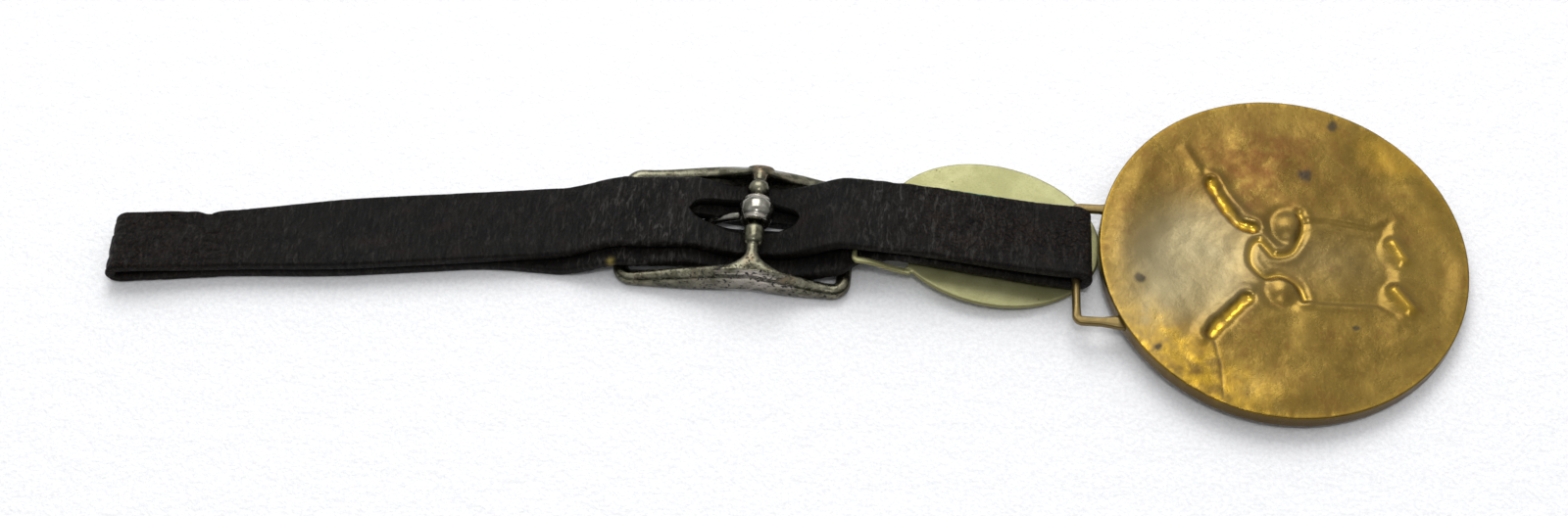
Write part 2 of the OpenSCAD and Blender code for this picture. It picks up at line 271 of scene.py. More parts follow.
class Shader:
    """A node material built up one node at a time."""

    def __init__(self, name):
        self.material = bpy.data.materials.new(name)
        self.material.use_nodes = True
        self.tree = self.material.node_tree
        self.surface = self.tree.nodes["Principled BSDF"]

    def put(self, socket, value):
        if isinstance(value, bpy.types.NodeSocket):
            self.tree.links.new(value, socket)
        else:
            socket.default_value = value

    def node(self, kind, inputs=None, **settings):
        made = self.tree.nodes.new(kind)
        for key, value in settings.items():
            setattr(made, key, value)
        for key, value in (inputs or {}).items():
            self.put(made.inputs[key], value)
        return made

    def place(self, across, up=None, away=None):
        """Rest position, counted in cells of the given sizes in millimetres."""
        where = self.node("ShaderNodeTexCoord").outputs["Object"]
        scale = [1 / (MM * size) for size in (across, up or across, away or across)]
        return self.node("ShaderNodeMapping", {"Vector": where, "Scale": scale}).outputs[0]

    def value(self, key):
        return self.node("ShaderNodeAttribute", attribute_name=key).outputs["Fac"]

    def strip(self, key_x, key_y, size_x, size_y):
        """A flat place from two point values, counted in cells of the given sizes."""
        flat = self.node("ShaderNodeCombineXYZ", {0: self.value(key_x), 1: self.value(key_y)})
        scale = (1 / size_x, 1 / size_y, 1)
        return self.node(
            "ShaderNodeMapping", {"Vector": flat.outputs[0], "Scale": scale}).outputs[0]

    def clouds(self, vector, detail=4.0, rough=0.55, warp=0.0):
        return self.node("ShaderNodeTexNoise", {
            "Vector": vector, "Scale": 1.0, "Detail": detail,
            "Roughness": rough, "Distortion": warp,
        }).outputs["Fac"]

    def cells(self, vector, feature="F1"):
        return self.node(
            "ShaderNodeTexVoronoi", {"Vector": vector, "Scale": 1.0}, feature=feature
        ).outputs["Distance"]

    def between(self, value, low, high, to_low=0.0, to_high=1.0):
        return self.node("ShaderNodeMapRange", {
            "Value": value, "From Min": low, "From Max": high,
            "To Min": to_low, "To Max": to_high,
        }, interpolation_type="SMOOTHSTEP").outputs["Result"]

    def times(self, *values):
        total = values[0]
        for value in values[1:]:
            total = self.math("MULTIPLY", total, value)
        return total

    def math(self, operation, a, b):
        return self.node("ShaderNodeMath", {0: a, 1: b}, operation=operation).outputs[0]

    def mix(self, share, a, b):
        return self.node(
            "ShaderNodeMix", {0: share, 6: a, 7: b}, data_type="RGBA").outputs[2]

    def relief(self, height, depth, under=None):
        """Bump from a height, with its depth in millimetres."""
        inputs = {"Height": height, "Strength": 1.0, "Distance": depth * MM}
        if under is not None:
            inputs["Normal"] = under
        return self.node("ShaderNodeBump", inputs).outputs[0]

    def finish(self, color, roughness, normal, metal=0.0, specular=0.5):
        self.put(self.surface.inputs["Base Color"], color)
        self.put(self.surface.inputs["Roughness"], roughness)
        self.put(self.surface.inputs["Normal"], normal)
        self.put(self.surface.inputs["Metallic"], metal)
        self.surface.inputs["Specular IOR Level"].default_value = specular
        return self.material


def leather_material():
    """Near-black strap leather: fine cross wrinkles with a painted sheen, painted highlights where it
    is bent, dry and reddish toward its ends.
    """
    s = Shader("worn_leather")
    wrinkles = s.clouds(s.strip("run", "around", 0.6, 1.9), 6.0, 0.6, 1.6)
    fine = s.clouds(s.strip("run", "around", 0.16, 0.5), 3.0, 0.6, 0.4)
    flecks = s.clouds(s.strip("run", "around", 0.5, 1.9), 5.0, 0.62, 0.9)
    pores = s.cells(s.strip("run", "around", 0.3, 0.34))
    crazing = s.cells(s.strip("run", "around", 0.8, 1.1), "DISTANCE_TO_EDGE")
    blotches = s.clouds(s.strip("run", "around", 4.0, 3.2), 4.0, 0.6, 0.5)
    specks = s.clouds(s.strip("run", "around", 0.34, 0.34), 2.0, 0.7)
    dry = s.value("dry")
    edge = s.value("edge")
    color = s.mix(s.between(blotches, 0.32, 0.68), screen(9, 8, 7), screen(17, 15, 13))
    # painted sheen: the wrinkles' raised places are lightened toward grey
    color = s.mix(s.times(s.between(wrinkles, 0.55, 0.68), 0.45), color, screen(50, 47, 43))
    # painted highlight: light flecks on the bent stretches of the strap
    crease_highlight = s.times(s.value("bent"), s.between(flecks, 0.5, 0.7), 0.55)
    color = s.mix(crease_highlight, color, screen(78, 76, 72))
    color = s.mix(s.times(s.between(blotches, 0.56, 0.7), 0.4), color, screen(34, 24, 20))
    color = s.mix(s.times(dry, s.between(specks, 0.5, 0.7), 0.8), color, screen(62, 42, 30))
    color = s.mix(s.times(dry, s.between(crazing, 0.07, 0.0), 0.6), color, screen(8, 7, 6))
    color = s.mix(s.times(edge, s.between(fine, 0.35, 0.65), 0.6), color, screen(34, 28, 21))
    color = s.mix(s.value("verdigris"), color, screen(52, 108, 98))
    color = s.mix(s.value("tan"), color, screen(126, 112, 58))
    rough = s.between(wrinkles, 0.3, 0.72, 0.6, 0.32)
    rough = s.math("ADD", rough, s.times(dry, 0.14))
    normal = s.relief(wrinkles, 0.3)
    normal = s.relief(fine, 0.05, normal)
    normal = s.relief(pores, 0.03, normal)
    normal = s.relief(s.times(dry, s.between(crazing, 0.0, 0.2)), 0.1, normal)
    return s.finish(color, rough, normal, specular=0.1)


def nickel_material(name, dark, light, worn):
    """Aged nickel plate: a grey-olive satin skin with pits, rust and worn places, and painted shade
    underneath and where it is hidden.
    """
    s = Shader(name)
    skin = s.clouds(s.place(1.1), 5.0, 0.6, 0.3)
    broad = s.clouds(s.place(3.4), 4.0, 0.6, 0.4)
    spots = s.clouds(s.place(0.42), 2.0, 0.5)
    grain = s.clouds(s.place(0.12), 3.0, 0.6)
    color = s.mix(s.between(skin, 0.32, 0.68), screen(*dark), screen(*light))
    color = s.mix(s.times(s.value("rust"), s.between(skin, 0.4, 0.6)), color, screen(112, 74, 48))
    color = s.mix(s.value("bare"), color, screen(186, 178, 168))
    pits = s.times(s.value("pitted"), s.between(spots, 0.56, 0.64), s.between(broad, 0.36, 0.5))
    color = s.mix(pits, color, screen(26, 22, 19))
    # painted shade on undersides, on the low end bars and on the prong under the leather, made rougher
    # there too
    color = s.mix(s.value("grime"), color, screen(34, 31, 25))
    rough = s.between(skin, 0.32, 0.72, worn, worn + 0.16)
    rough = s.math("ADD", rough, s.times(pits, 0.35))
    rough = s.math("ADD", rough, s.times(s.value("grime"), 0.25))
    normal = s.relief(skin, 0.02)
    normal = s.relief(grain, 0.006, normal)
    normal = s.relief(pits, -0.1, normal)
    return s.finish(color, rough, normal, metal=s.math("SUBTRACT", 1.0, s.times(pits, 0.8)))


def medallion_material():
    """Old brass, from olive to gold, with brown clouds, a greyed patch, worn gold in its troughs and
    painted highlights.
    """
    s = Shader("aged_brass")
    broad = s.clouds(s.place(9.0), 4.0, 0.6, 0.6)
    mottle = s.clouds(s.place(2.2), 5.0, 0.65, 0.3)
    fine = s.clouds(s.place(0.42), 4.0, 0.65)
    flecks = s.cells(s.place(1.5))
    color = s.mix(s.between(broad, 0.32, 0.68), screen(103, 82, 34), screen(128, 104, 47))
    color = s.mix(s.times(s.between(mottle, 0.52, 0.7), 0.5), color, screen(98, 68, 30))
    color = s.mix(s.times(s.between(fine, 0.55, 0.68), 0.3), color, screen(152, 128, 58))
    color = s.mix(s.times(s.value("brown"), s.between(mottle, 0.3, 0.6)), color, screen(94, 58, 28))
    color = s.mix(s.value("grey"), color, screen(134, 122, 90))
    # worn gold in the horn troughs, and painted highlights on two broad patches, the brow line and the
    # nostrils
    color = s.mix(s.value("gold_and_highlight"), color, screen(188, 150, 44))
    specks = s.times(s.between(flecks, 0.12, 0.06), s.between(broad, 0.5, 0.6), 0.6)
    color = s.mix(specks, color, screen(78, 50, 38))
    color = s.mix(s.value("stain"), color, screen(50, 48, 42))
    # painted shade on the disc's wall; the loop is darkened by a third of it
    color = s.mix(s.value("wall"), color, screen(84, 66, 28))
    rough = s.between(mottle, 0.3, 0.7, 0.25, 0.38)
    rough = s.math("ADD", rough, s.times(s.value("grey"), 0.06))
    rough = s.math("SUBTRACT", rough, s.times(s.value("gold_and_highlight"), 0.1))
    normal = s.relief(mottle, 0.05)
    normal = s.relief(fine, 0.012, normal)
    return s.finish(color, rough, normal, metal=0.9)


def charm_material():
    """Nickel silver: pale green-yellow satin with a fine grain, a few specks and painted shade on its
    upright edges.
    """
    s = Shader("nickel_silver")
    broad = s.clouds(s.place(5.0), 4.0, 0.6)
    grain = s.clouds(s.place(0.2), 3.0, 0.7)
    brushed = s.clouds(s.place(1.4, 0.16), 3.0, 0.6)
    flecks = s.cells(s.place(1.7))
    color = s.mix(s.between(broad, 0.32, 0.68), screen(146, 144, 100), screen(166, 164, 120))
    color = s.mix(s.times(s.between(grain, 0.5, 0.68), 0.45), color, screen(140, 135, 94))
    color = s.mix(s.times(s.between(flecks, 0.09, 0.04), 0.7), color, screen(92, 80, 50))
    # painted shade on the upright edges of the plate and tab
    color = s.mix(s.value("rim"), color, screen(128, 122, 80))
    rough = s.between(grain, 0.3, 0.7, 0.42, 0.56)
    normal = s.relief(grain, 0.01)
    normal = s.relief(brushed, 0.006, normal)
    return s.finish(color, rough, normal, metal=0.8)


def felt_material():
    s = Shader("white_felt")
    fuzz = s.clouds(s.place(0.5), 5.0, 0.7)
    lumps = s.clouds(s.place(3.5), 3.0, 0.6)
    color = s.mix(s.between(fuzz, 0.3, 0.7), screen(236, 236, 238), screen(250, 250, 251))
    normal = s.relief(lumps, 0.3)
    normal = s.relief(fuzz, 0.16, normal)
    return s.finish(color, 0.95, normal, specular=0.1)


def wear(obj, material):
    obj.data.materials.clear()
    obj.data.materials.append(material)


# ----------------------------------------------------------------- leather

STRAP_T = 1.45                       # one layer of leather
STACK = STRAP_T + 0.1                # from one layer to the next
HALF_T = STRAP_T / 2
STRAP_W = 9.5
WATCH_END_W = 7.9
FLOOR_GAP = 0.1                      # leather under the centre bar clears the floor
OVER_END = 2 * LEFT_END[2] + 0.25    # underside of the leather over an end bar
BACK_LIFT = 1.1                      # the back layer also passes over the charm's tab
TAIL_TURN = math.tan(math.radians(8.3))
SLOT_LEFT, SLOT_RIGHT = -8.0, 5.4
FRONT_SLOT_RIGHT = 5.0               # far enough for the open prong to pass
BACK_SLOT = (2.15, 0.4)              # half width of the slot, and its middle
FRONT_SLOT = (0.6, COLLAR_Y)
EDGE_R = 0.38                        # rounding of the leather's edges
FOLD_R = 0.4 + HALF_T                # middle of the leather round the watch-end fold
FOLD = np.array([-74.55, 0.4 + STRAP_T])
WRAP_R = 0.58 + HALF_T               # and round the loop's bar
TURN = math.atan2(JOINTS["medallion_swing"]["axis"][0], -JOINTS["medallion_swing"]["axis"][1])
CHARM_SLOPE = math.tan(math.radians(4.4))
PLATE_X = TAB[0] + 5.2               # where the charm's plate meets its tab
PLATE_GAP = 0.3
PLATE_T = 0.7
PLATE_RISE = 26.2 * math.sin(math.radians(4.4))


def plate_top(x):
    return PLATE_T + PLATE_RISE - (x - PLATE_X) * CHARM_SLOPE


def strap_middle(x):
    """Middle of the strap in plan."""
    left, right = LEFT_END[0], RIGHT_END[0]
    y = 0.1 - 0.9 * step(-x, 6.8, -left) + 0.3 * step(x, 6.8, right)
    y = y - 1.3 * step(x, right, LOOP[0])
    return y + np.minimum(x - left, 0) * TAIL_TURN


def strap_half_width(x):
    tail = step(-x, 46.4, 64.4)
    return (STRAP_W + (WATCH_END_W - STRAP_W) * tail) / 2


def layer(stations, start, end, spacing=0.2):
    """(x, z) points along the middle of one layer, from start to end."""
    xs = np.linspace(start, end, round(abs(end - start) / spacing) + 1)
    return np.stack([xs, along(stations, xs)], -1)


def turn_round(centre, radius, start, end, count=22):
    a = np.radians(np.linspace(start, end, count + 1))
    return centre + radius * np.stack([np.cos(a), np.sin(a)], -1)


def watch_side_path():
    """Back layer from the centre bar to the watch end, and the front layer back."""
    left, low = LEFT_END[0], HALF_T
    back = [
        (FOLD[0], FOLD[1] + FOLD_R), (-63, low + STACK), (left - 8, low + STACK),
        (left, low + OVER_END + STACK), (-8.16, low + 1.5 + STACK),
        (-2.5, low + FLOOR_GAP + STACK), (2.5, low + FLOOR_GAP + STACK),
    ]
    front = [
        (FOLD[0], low), (left - 8, low), (left, low + OVER_END), (-8.16, low + 1.5),
        (-2.5, low + FLOOR_GAP), (2.5, low + FLOOR_GAP),
    ]
    fold = turn_round(FOLD, FOLD_R, 90, 270)[1:-1]
    return np.concatenate([layer(back, 0, FOLD[0]), fold, layer(front, FOLD[0], 0)])


def fob_side_path():
    """Back layer from the centre bar to the loop, and the front layer back."""
    right, low = RIGHT_END[0], HALF_T
    loop = np.array([LOOP[0], LOOP[2]])
    tab_end = (PLATE_X + 0.6, low + PLATE_GAP + plate_top(PLATE_X + 0.6))
    back = [
        (-2.5, low + FLOOR_GAP + STACK), (2.5, low + FLOOR_GAP + STACK),
        (right, low + OVER_END + STACK + BACK_LIFT),
        (TAB[0] + 6, low + OVER_END + STACK + BACK_LIFT), (loop[0], loop[1] + WRAP_R),
    ]
    front = [
        (-2.5, low + FLOOR_GAP), (2.5, low + FLOOR_GAP), (right, low + OVER_END),
        (TAB[0] + 1, low + OVER_END), tab_end,
    ]
    wrap = turn_round(loop, WRAP_R, 90, -90)[1:]
    straight = np.linspace(wrap[-1], tab_end, 100)[1:-1]
    return np.concatenate(
        [layer(back, 0, loop[0]), wrap, straight, layer(front, tab_end[0], 0)])


def front_shift(x):
    """The front layer has slid toward the near rail at the buckle."""
    return -1.75 * step(x, -34, -18) - 0.45 * step(x, -4, 7) + 2.2 * step(x, 9.9, 13.6)


def slot_half_width(x, widest, right_tip):
    """Half of a slot's width: blunt on the left, pointed on the right."""
    middle = -0.2
    reach = np.where(x < middle, middle - SLOT_LEFT, right_tip - middle)
    u = np.abs(x - middle) / reach
    taper = np.where(x < middle, 1, 1 - 0.2 * u)
    return widest * taper * np.sqrt(np.clip(1 - u ** np.where(widest < 1, 4, 2), 0, 1))


def bending(x):
    """How much the leather has been bent at x, which is where it wrinkles."""
    return 0.2 + bump(x, -13, 6.5) + bump(x, 17, 5) + 0.5 * bump(x, 26, 6)


def wrinkle_height(x, run, across):
    """Height of the worn skin, in millimetres, always at or under its own surface."""
    bent = bending(x)
    wander = 0.7 * noise(run / 2.6, across / 2.1, 5)
    creases = np.abs(noise(run / 0.62 + wander, across / 3.6 + 0.2 * run, 11))
    creases = np.maximum(creases, np.abs(noise(run / 1.3 - wander, across / 5 - 0.1 * run, 17)))
    pinch = np.clip(0.35 - np.abs(noise(run / 1.9 + wander, across / 6, 23)), 0, 1) / 0.35
    waves = clouds(run / 6, across / 4.5, 31, 2)
    cracked = step(-x, 56, 66) + 0.5 * step(x, 14, 24)
    cells = np.abs(noise(run / 1.5 + wander, across / 1.7 - wander, 37))
    crazed = np.clip(0.22 - np.minimum(cells, np.abs(noise(run / 2.4, across / 1.2, 43))), 0, 1) / 0.22
    height = -0.2 * bent * (1 - creases) - 0.14 * bent * pinch - 0.16 * cracked * crazed
    return np.maximum(height, -0.34) + 0.05 * (waves - 1)


def band(name, path, outward, shear):
    """A closed leather band; its two halves part at the slot and join elsewhere."""
    heading = np.gradient(path, axis=0)
    heading /= np.linalg.norm(heading, axis=1)[:, None]
    out = outward * np.stack([heading[:, 1], -heading[:, 0]], -1)
    gaps = np.linalg.norm(np.diff(path, axis=0), axis=1)
    run = np.concatenate([[0], np.cumsum(gaps)]) * -outward
    x = path[:, 0]
    back_run = 40 if outward < 0 else 76
    front = np.abs(run) > back_run
    middle = strap_middle(x) + front * front_shift(x)
    widest, slot_y = np.where(front[:, None], FRONT_SLOT, BACK_SLOT).T
    right_tip = np.where(front, FRONT_SLOT_RIGHT, SLOT_RIGHT)
    width, slot = strap_half_width(x), slot_half_width(x, widest, right_tip)
    parting = (slot_y - middle) * step(-np.abs(x), -14, -9)
    lip = 0.25 * np.minimum(1, slot / 0.8)
    inner, outer = slot + lip, width - EDGE_R
    flat = np.linspace(0, 1, 17)
    corner = np.radians([75, 50, 25])
    columns = [(inner + (outer - inner) * t, np.full_like(x, HALF_T)) for t in flat]
    for a in corner:
        rise = HALF_T - EDGE_R + EDGE_R * math.sin(a)
        columns.append((outer + EDGE_R * math.cos(a), np.full_like(x, rise)))
    columns += [(width, np.full_like(x, h)) for h in (0.2, -0.2)]
    for a in -corner[::-1]:
        rise = -HALF_T + EDGE_R + EDGE_R * math.sin(a)
        columns.append((outer + EDGE_R * math.cos(a), np.full_like(x, rise)))
    columns += [(inner + (outer - inner) * t, np.full_like(x, -HALF_T)) for t in flat[::-1]]
    columns += [(slot, lip - HALF_T), (slot, HALF_T - lip)]
    across = np.stack([c[0] for c in columns], 1)
    rise = np.stack([c[1] for c in columns], 1)
    count, size = across.shape
    walls = [size - 2, size - 1, size - 3]

    points, faces, values = [], [], {key: [] for key in ("run", "around", "x", "rise", "side")}
    for half, side in enumerate((-1, 1)):
        share = np.clip((outer[:, None] - across) / (outer - slot)[:, None], 0, 1)
        v = across * side + parting[:, None] * share
        around = np.cumsum(np.hypot(np.diff(across, axis=1, prepend=across[:, :1]),
                                    np.diff(rise, axis=1, prepend=rise[:, :1])), axis=1)
        around = np.where(slot[:, None] > 0, around + slot[:, None], around) * side
        around[:, -2] = np.where(slot > 0, around[:, -2], around[:, -3])
        around[:, -1] = np.where(slot > 0, around[:, -1], around[:, 0])
        skin = wrinkle_height(x[:, None], run[:, None], v)
        facing = np.clip(rise / HALF_T, -1, 1)
        height = rise + skin * np.where(facing > 0, facing, 0.4 * facing)
        ragged = 0.06 * noise(run[:, None] / 1.4, rise * 1.5 + 9 * side, 41)
        v = v + side * (1 - np.abs(facing)) * ragged * (across > outer[:, None])
        if side > 0:
            v = v - 0.4 * (bump(x, -65.3, 0.9) * (x < 0))[:, None] * across / width[:, None]
        y = middle[:, None] + v
        px = x[:, None] + out[:, :1] * height
        pz = path[:, 1:] + out[:, 1:] * height
        px = px - shear * step(x, RIGHT_END[0], LOOP[0])[:, None] * (y - LOOP[1])
        points.append(np.stack([px, y, pz], -1).reshape(-1, 3))
        start = half * count * size
        for i in range(count - 1):
            open_here = slot[i] > 0 or slot[i + 1] > 0
            for k in range(size):
                if k in walls and not open_here:
                    continue
                n = (k + 1) % size
                a, b = start + i * size, start + (i + 1) * size
                faces.append((a + k, a + n, b + n, b + k))
        for i in (0, count - 1):
            faces.append(tuple(start + i * size + k for k in range(size)))
        shaped = np.ones_like(across)
        values["run"].append((run[:, None] * shaped).ravel())
        values["around"].append(around.ravel())
        values["x"].append((x[:, None] * shaped).ravel())
        values["rise"].append((facing * shaped).ravel())
        values["side"].append((v * shaped).ravel())
    values = {key: np.concatenate(parts) for key, parts in values.items()}
    back_layer = np.abs(values["run"]) < back_run
    kept = {
        "run": values["run"], "around": values["around"], "edge": 1 - np.abs(values["rise"]),
        **strap_wear(values["x"], values["side"], back_layer),
    }
    return make_object(name, np.concatenate(points), faces, kept, merge=0.002, sharp=48)


def strap_wear(x, side, back_layer):
    """Where the leather is dry, stained green or bare, and how bent it is, which places its painted
    highlights, as point values.
    """
    patches = clouds(x / 5, side / 4, 53, 3)
    dry = (0.9 * step(-x, 54, 73) * np.clip(0.8 + patches, 0, 1)
           + 0.85 * step(x, 12, 27) * np.clip(0.75 + patches, 0, 1))
    green = bump(x, 26, 2.6) * step(side, 4.3, 4.8) * np.clip(0.8 + noise(x * 1.7, side, 61), 0, 1)
    tan = bump(x, -16.6, 0.35) * bump(side, -4.6, 0.4) * ~back_layer
    return {
        "dry": np.clip(dry, 0, 1), "verdigris": 0.8 * green, "tan": tan,
        "bent": np.clip(bending(x), 0, 1),
    }


def build_leather(material):
    for name, path, outward, shear in (
        ("leather_watch_side", watch_side_path(), 1, 0.0),
        ("leather_fob_side", fob_side_path(), -1, math.tan(TURN)),
    ):
        made = band(name, path, outward, shear)
        wear(made, material)
        if name == "leather_watch_side":
            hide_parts("strap_watch_end", "strap_front_mid")
            blend_at(made)
        else:
            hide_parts("strap_fob_end", "strap_back_mid")
            blend_at(made)


def blend_at(obj):
    """Bakes the leather's placing into its points."""
    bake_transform(obj)


# ------------------------------------------------------------------ buckle

FRAME_Y = -0.8
FRAME_HALF_W = 8.0
RAIL_HALF_W = 0.9
BAR_R = 1.0
END_R = LEFT_END[2]


def rail_heights(x):
    """Underside, top and outer arris of the frame at x."""
    left, right, thick = LEFT_END[0], RIGHT_END[0], 2 * END_R
    under = along([(left - 1, 0), (left + 4, 0), (0, 0.9), (right - 3, 0), (right + 1, 0)], x)
    peak = BAR_Z + BAR_R - 0.1 - thick
    share = np.where(x < 0, (x - left - 1) / (-left - 1), (right - 0.8 - x) / (right - 0.8))
    share = np.clip(share, 0, 1)
    slope = np.where(x < 0, 1.5, 0.9)
    top = thick + slope * share + (peak - slope) * share ** 1.8
    drop = 0.12 * (top - thick) + 0.9 * bump(x, 0, 3.2)
    return under, top, drop


def frame_outline():
    """A closed level path down the middle of the rails and end bars."""
    left, right, corner = LEFT_END[0], RIGHT_END[0], 1.35
    half = FRAME_HALF_W - RAIL_HALF_W
    path = []
    corners = ((left + corner, -1, 180), (right - corner, -1, 270),
               (right - corner, 1, 0), (left + corner, 1, 90))
    for i, (x, side, first) in enumerate(corners):
        a = np.radians(np.linspace(first, first + 90, 13))
        centre = np.array([x, side * (half - corner)])
        path += list(centre + corner * np.stack([np.cos(a), np.sin(a)], -1))
        nx, nside, nfirst = corners[(i + 1) % 4]
        n = np.radians(nfirst)
        target = np.array([nx, nside * (half - corner)]) + corner * np.array([np.cos(n), np.sin(n)])
        steps = round(np.linalg.norm(target - path[-1]) / 0.35)
        path += list(np.linspace(path[-1], target, steps + 1)[1:-1])
    path = np.array(path)
    return np.column_stack([path[:, 0], path[:, 1] + FRAME_Y])


def frame_rails():
    path = frame_outline()
    around = np.concatenate([path[-1:], path, path[:1]])
    heading = (around[2:] - around[:-2])
    heading /= np.linalg.norm(heading, axis=1)[:, None]
    under, top, drop = rail_heights(path[:, 0])
    rail = step(np.abs(path[:, 1] - FRAME_Y), FRAME_HALF_W - 2.6, FRAME_HALF_W - 1.2)
    rings = []
    for i, (x, y) in enumerate(path):
        low = under[i] * rail[i]
        high = 2 * END_R + (top[i] - 2 * END_R) * rail[i]
        section = ring(RAIL_HALF_W, (high - low) / 2, 2.2 + 2.4 * rail[i] * step(high, 1.9, 3.5))
        outer = section[:, 0] / RAIL_HALF_W
        share = np.clip(section[:, 1] * 2 / (high - low), 0, 1)
        rise = (high + low) / 2 + section[:, 1] - drop[i] * rail[i] * share * step(outer, -0.5, 1)
        out = np.array([heading[i, 1], -heading[i, 0]])
        rings.append(np.column_stack([(x, y) + section[:, :1] * out, rise]))
    return tube(rings, closed=True)


def centre_bar():
    """The bar, with a ball near the far rail, a long bead and a flare at the near one."""
    far, near = FRAME_Y + FRAME_HALF_W - 0.5, FRAME_Y - FRAME_HALF_W + 0.5
    ys = np.linspace(near, far, 150)
    wide = BAR_R - 0.16 + 0 * ys
    ball = np.sqrt(np.clip(1.36 ** 2 - (ys - 3.35) ** 2, 0, None))
    capsule = 1.28 * np.clip(1 - np.abs((ys + 3.15) / 1.6) ** 4, 0, 1) ** 0.5
    high = np.maximum(np.maximum(wide, ball), capsule)
    near_flare = np.clip((-5.6 - ys) / 2.0, 0, 1.3) ** 1.8
    far_flare = np.clip((ys - 4.6) / 2.4, 0, 1.2) ** 2
    across = high + 2.3 * near_flare + 1.1 * far_flare
    sink = 0.15 * near_flare + 0.5 * far_flare
    rings = []
    for y, a, h, down in zip(ys, across, high, sink):
        section = ring(a, h, 2, 48)
        rings.append(np.column_stack([section[:, 0], 0 * section[:, 0] + y,
                                      BAR_Z - down + section[:, 1]]))
    return tube(rings)


def build_buckle(material):
    made = cast_together("buckle_casting", [frame_rails(), centre_bar()], 0.12, 5)
    p, n = points_of(made), normals_of(made)
    rough = clouds(p[:, 0] / 1.5, p[:, 1] / 1.5 + p[:, 2], 71, 3)
    p = p + n * (0.01 * rough)[:, None]
    move_points(made, p)
    x, y, z = p.T
    near = step(-y, -FRAME_Y + 4.5, -FRAME_Y + 6)
    outer_face = near * step(-n[:, 1], 0.45, 0.85)
    patch = clouds(x / 2.2, z / 1.6, 75, 3)
    pitted = np.clip(0.25 * near + 0.9 * outer_face + 0.8 * near * bump(x, -5, 6), 0, 1)
    bare = 0.75 * outer_face * bump(x, 1, 5.5) * np.clip(0.7 + 1.5 * patch, 0, 1)
    rust = 0.5 * bump(y, 6.2, 1.6) * bump(x, 0, 3.2) * np.clip(0.5 + 2 * patch, 0, 1)
    rust = rust + 0.35 * near * np.clip(patch - 0.15, 0, 1) * 2
    # painted shade: darker on faces turned downward and low on the end bars under the leather
    below = step(-n[:, 2], 0.1, 0.9)
    ends = step(np.abs(x - (LEFT_END[0] + RIGHT_END[0]) / 2), 11.6, 12.8) * (1 - outer_face)
    grime = np.clip(0.6 * below + 0.5 * ends * step(-z, -1.5, -0.7), 0, 0.9)
    polish = step(-np.abs(y), -4.6, -4.0)
    add_values(made, pitted=pitted * (1 - polish), bare=bare, rust=np.clip(rust, 0, 1), grime=grime)
    wear(made, material)
    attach(made, "buckle")
    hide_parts("buckle_frame")


# ------------------------------------------------------------------ tongue

COLLAR_HALF = 1.65
COLLAR_R = 2.1


def collar():
    """The rolled collar: a fat barrel with a lower lip at each end and a bore."""
    inside = BAR_R + 0.1
    outside = [
        (-1.0, 1.56), (-0.97, 1.66), (-0.88, 1.72), (-0.72, 1.76), (-0.64, 1.86),
        (-0.5, 1.98), (-0.3, 2.07), (0, COLLAR_R), (0.3, 2.07), (0.5, 1.98), (0.64, 1.86),
        (0.72, 1.76), (0.88, 1.72), (0.97, 1.66), (1.0, 1.56),
    ]
    profile = smooth_line(outside, 3)
    profile = [(-1.0, inside)] + [tuple(p) for p in profile] + [(1.0, inside)]
    a = np.arange(72) * 2 * math.pi / 72
    rings = []
    for angle in a:
        turn = np.array([math.cos(angle), math.sin(angle)])
        rings.append(np.array([
            [r * turn[0], COLLAR_Y + y * COLLAR_HALF, BAR_Z + r * turn[1]] for y, r in profile
        ]))
    return tube(rings, closed=True)


def prong():
    """A round pin down through the slot to its seat under the left end bar."""
    tip_x = LEFT_END[0] - 0.55
    stations = [
        (tip_x, 0.4), (-10.16, 0.5), (-8.16, 0.7), (-1.6, BAR_Z - 1.15), (0, BAR_Z - 1.1)
    ]
    xs = np.linspace(tip_x, -1.5, 110)
    rings = []
    for x in xs:
        end = math.sqrt(min(1, (x - tip_x + 0.02) / 0.5))
        section = ring(0.52 * end, 0.32 * end + 0.16 * ease((x + 7) / 4), 2.2, 28)
        z = along(stations, x)
        rings.append(np.column_stack([
            0 * section[:, 0] + x, COLLAR_Y + section[:, 0], z + section[:, 1]]))
    return tube(rings)


def build_tongue(material):
    made = cast_together("tongue_and_collar", [collar(), prong()], 0.1, 4)
    p, n = points_of(made), normals_of(made)
    shoulder = step(np.abs(p[:, 1] - COLLAR_Y), 1.02, 1.12) * step(-p[:, 0], -9, -2)
    shoulder = shoulder * (p[:, 0] > -2.3)
    patch = clouds(p[:, 0] / 0.9, p[:, 2] / 0.9, 83, 3)
    # painted shade on the prong where it runs under the leather, and on faces turned downward
    hidden = step(-p[:, 0], 6.2, 8.5)
    add_values(
        made, pitted=0.3 * shoulder, bare=0.5 * shoulder * np.clip(0.6 + 1.5 * patch, 0, 1),
        rust=0.5 * shoulder * np.clip(-patch, 0, 1), grime=0.75 * hidden + 0.2 * step(-n[:, 2], 0, 1))
    wear(made, material)
    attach(made, "tongue")
    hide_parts("buckle_tongue")


# --------------------------------------------------------------- medallion

MEDAL_R = 22.0
MEDAL_HALF_T = 1.0
LOOP_GAP = 2.25
LOOP_R = 0.5
LOOP_REACH = MEDAL_R + LOOP_GAP + LOOP_R
LOOP_HALF = 14.6 / 2
ARM_HALF_W = 0.5
MEDAL_SHIFT = 2.2                    # the disc's middle, across from the loop's
RIM_H = 0.45
HEAD_SHIFT = 0.53                    # the head is set a little toward its muzzle
MEDAL_LIFT = math.asin((LOOP[2] - MEDAL_HALF_T) / (LOOP_REACH + MEDAL_R))

